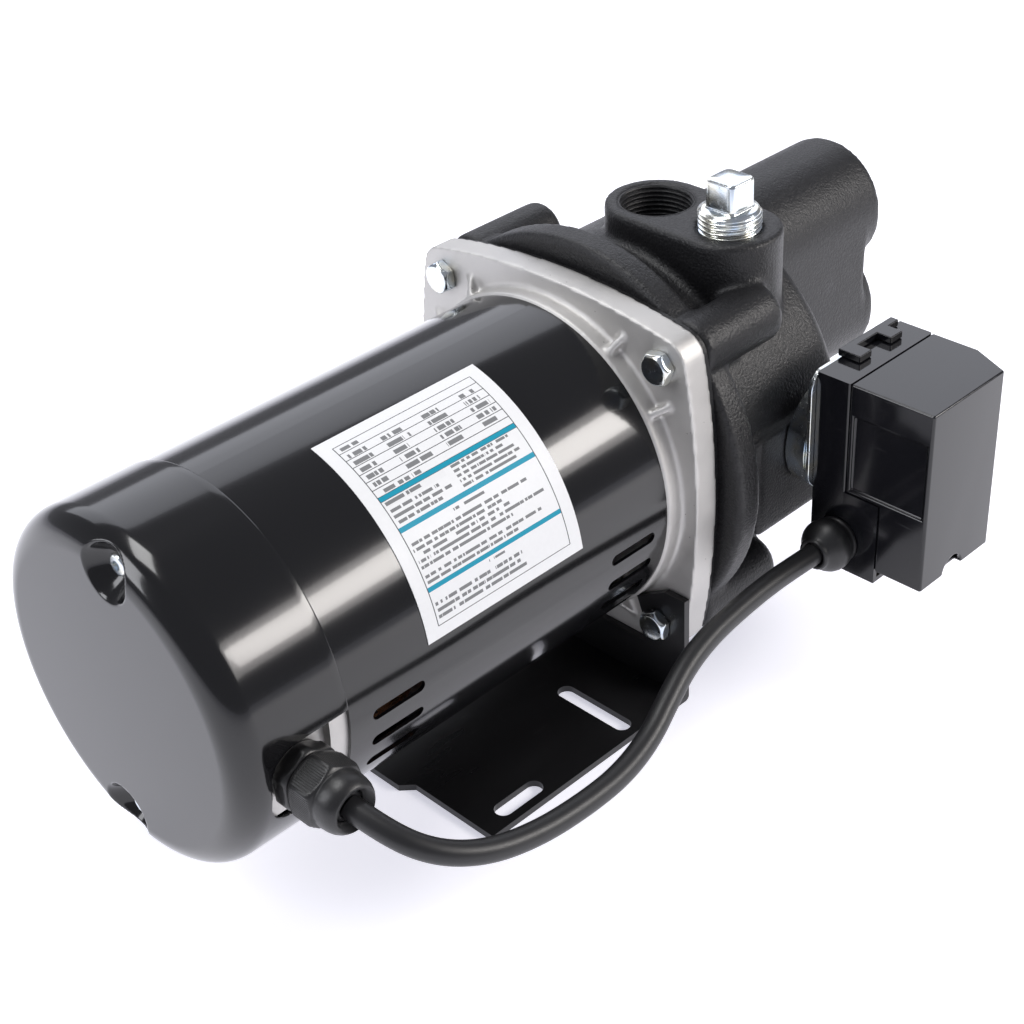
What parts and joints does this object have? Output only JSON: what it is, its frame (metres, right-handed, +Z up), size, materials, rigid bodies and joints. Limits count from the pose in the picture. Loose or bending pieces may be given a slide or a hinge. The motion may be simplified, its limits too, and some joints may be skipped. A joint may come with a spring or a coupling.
{
  "type": "shallow well jet pump",
  "caption": "Round motor on a slotted foot plate, driving a cast jet pump casing with side suction barrel, top outlet, square-headed plug and side pressure switch.",
  "frame": {"origin": "on the underside of the foot plate, below the shaft line, midway between the two rows of mounting slots", "axes": "+X along the shaft from motor to pump, +Z up, -Y the side with the pressure switch and label"},
  "size_m": [0.4136, 0.2383, 0.2079],
  "materials": {
    "gloss_black_paint": "gloss black baked enamel",
    "satin_black_cast": "satin black paint over rough cast iron",
    "black_plate": "semi-gloss black paint on steel sheet",
    "cast_aluminium": "as-cast aluminium, satin",
    "zinc_steel": "bright zinc plate",
    "ground_steel": "ground steel",
    "bright_ball": "polished",
    "lamination": "stacked electrical steel",
    "copper": "enamelled copper",
    "label": "printed vinyl",
    "black_nylon": "fine satin nylon",
    "gloss_plastic": "gloss black moulding",
    "pale_plastic": "moulded, matt",
    "black_rubber": "matt rubber",
    "ceramic": "ground ceramic",
    "carbon": "lapped carbon",
    "moulded_black": "filled thermoplastic",
    "brass": "machined brass",
    "fibre_board": "phenolic board"
  },
  "bodies": {
    "pump_body": {"base_plate": "black_plate", "motor_shell": "gloss_black_paint", "nameplate_label": "label", "rear_cover": "gloss_black_paint", "cover_screws": "zinc_steel", "cover_posts": "zinc_steel", "rear_end_bracket": "cast_aluminium", "rear_bearing_outer_ring": "ground_steel", "front_bearing_outer_ring": "ground_steel", "wave_washer": "ground_steel", "stator_core": "lamination", "stator_windings": "copper", "through_bolts": "zinc_steel", "start_switch_plate": "fibre_board", "start_capacitor": "moulded_black", "terminal_board": "fibre_board", "thermal_protector": "moulded_black", "front_end_bracket": "cast_aluminium", "casing_bolts": "zinc_steel", "seal_plate": "satin_black_cast", "seal_seat": "ceramic", "pump_casing": "satin_black_cast", "casing_seal": "black_rubber", "diffuser": "moulded_black", "venturi_tube": "moulded_black", "jet_nozzle": "brass", "ejector_plug": "zinc_steel", "drain_plug": "zinc_steel", "switch_nipple": "zinc_steel", "switch_housing": "zinc_steel", "switch_back_plate": "zinc_steel", "switch_base": "gloss_plastic", "switch_latch": "black_nylon", "switch_springs": "ground_steel", "switch_hardware": "brass", "contact_block": "pale_plastic", "gland_body": "black_nylon", "gland_nut": "black_nylon", "gland_seal": "black_rubber", "motor_cable": "black_rubber", "strain_relief": "black_rubber"},
    "rotating_group": {"motor_shaft": "ground_steel", "rotor_core": "lamination", "rotor_cage": "cast_aluminium", "cooling_fan": "moulded_black", "rear_bearing_inner_ring": "ground_steel", "front_bearing_inner_ring": "ground_steel", "bearing_balls": "bright_ball", "governor_hub": "zinc_steel", "impeller": "moulded_black", "seal_head": "carbon", "seal_spring": "ground_steel", "water_slinger": "black_rubber"},
    "governor_collar": {"governor_collar": "fibre_board"},
    "governor_weight_high": {"governor_weight_high": "zinc_steel"},
    "governor_weight_low": {"governor_weight_low": "zinc_steel"},
    "start_contact_arm": {"start_contact_arm": "brass"},
    "switch_lever": {"switch_lever": "zinc_steel"},
    "switch_cover": {"switch_cover": "gloss_plastic"},
    "priming_plug": {"priming_plug": "zinc_steel"}
  },
  "joints": [
    {"name": "shaft_spin", "type": "hinge", "parent": "pump_body", "child": "rotating_group", "pos_m": [0, 0, 0.097], "axis": [1, 0, 0], "continuous": true},
    {"name": "governor_slide", "type": "slide", "parent": "rotating_group", "child": "governor_collar", "axis": [1, 0, 0], "range_m": [0, 0.003]},
    {"name": "flyweight_high_hinge", "type": "hinge", "parent": "rotating_group", "child": "governor_weight_high", "pos_m": [-0.1223, 0, 0.1155], "axis": [0, 1, 0], "range_deg": [0, 12.1]},
    {"name": "flyweight_low_hinge", "type": "hinge", "parent": "rotating_group", "child": "governor_weight_low", "pos_m": [-0.1223, 0, 0.0785], "axis": [0, -1, 0], "range_deg": [0, 12.1]},
    {"name": "start_contact_hinge", "type": "hinge", "parent": "pump_body", "child": "start_contact_arm", "pos_m": [-0.1371, 0, 0.071], "axis": [0, 1, 0], "range_deg": [0, 9.5]},
    {"name": "switch_lever_hinge", "type": "hinge", "parent": "pump_body", "child": "switch_lever", "pos_m": [0.145, -0.0984, 0.093], "axis": [1, 0, 0], "range_deg": [0, 3]},
    {"name": "switch_cover_slide", "type": "slide", "parent": "pump_body", "child": "switch_cover", "axis": [0, -1, 0], "range_m": [0, 0.06]},
    {"name": "priming_plug_lift", "type": "slide", "parent": "pump_body", "child": "priming_plug", "axis": [0, 0, 1], "range_m": [0, 0.04]}
  ],
  "couplings": [
    {"joint": "flyweight_high_hinge", "follows": "governor_slide", "rad_per_m": 70},
    {"joint": "flyweight_low_hinge", "follows": "governor_slide", "rad_per_m": 70},
    {"joint": "start_contact_hinge", "follows": "governor_slide", "rad_per_m": 55}
  ]
}
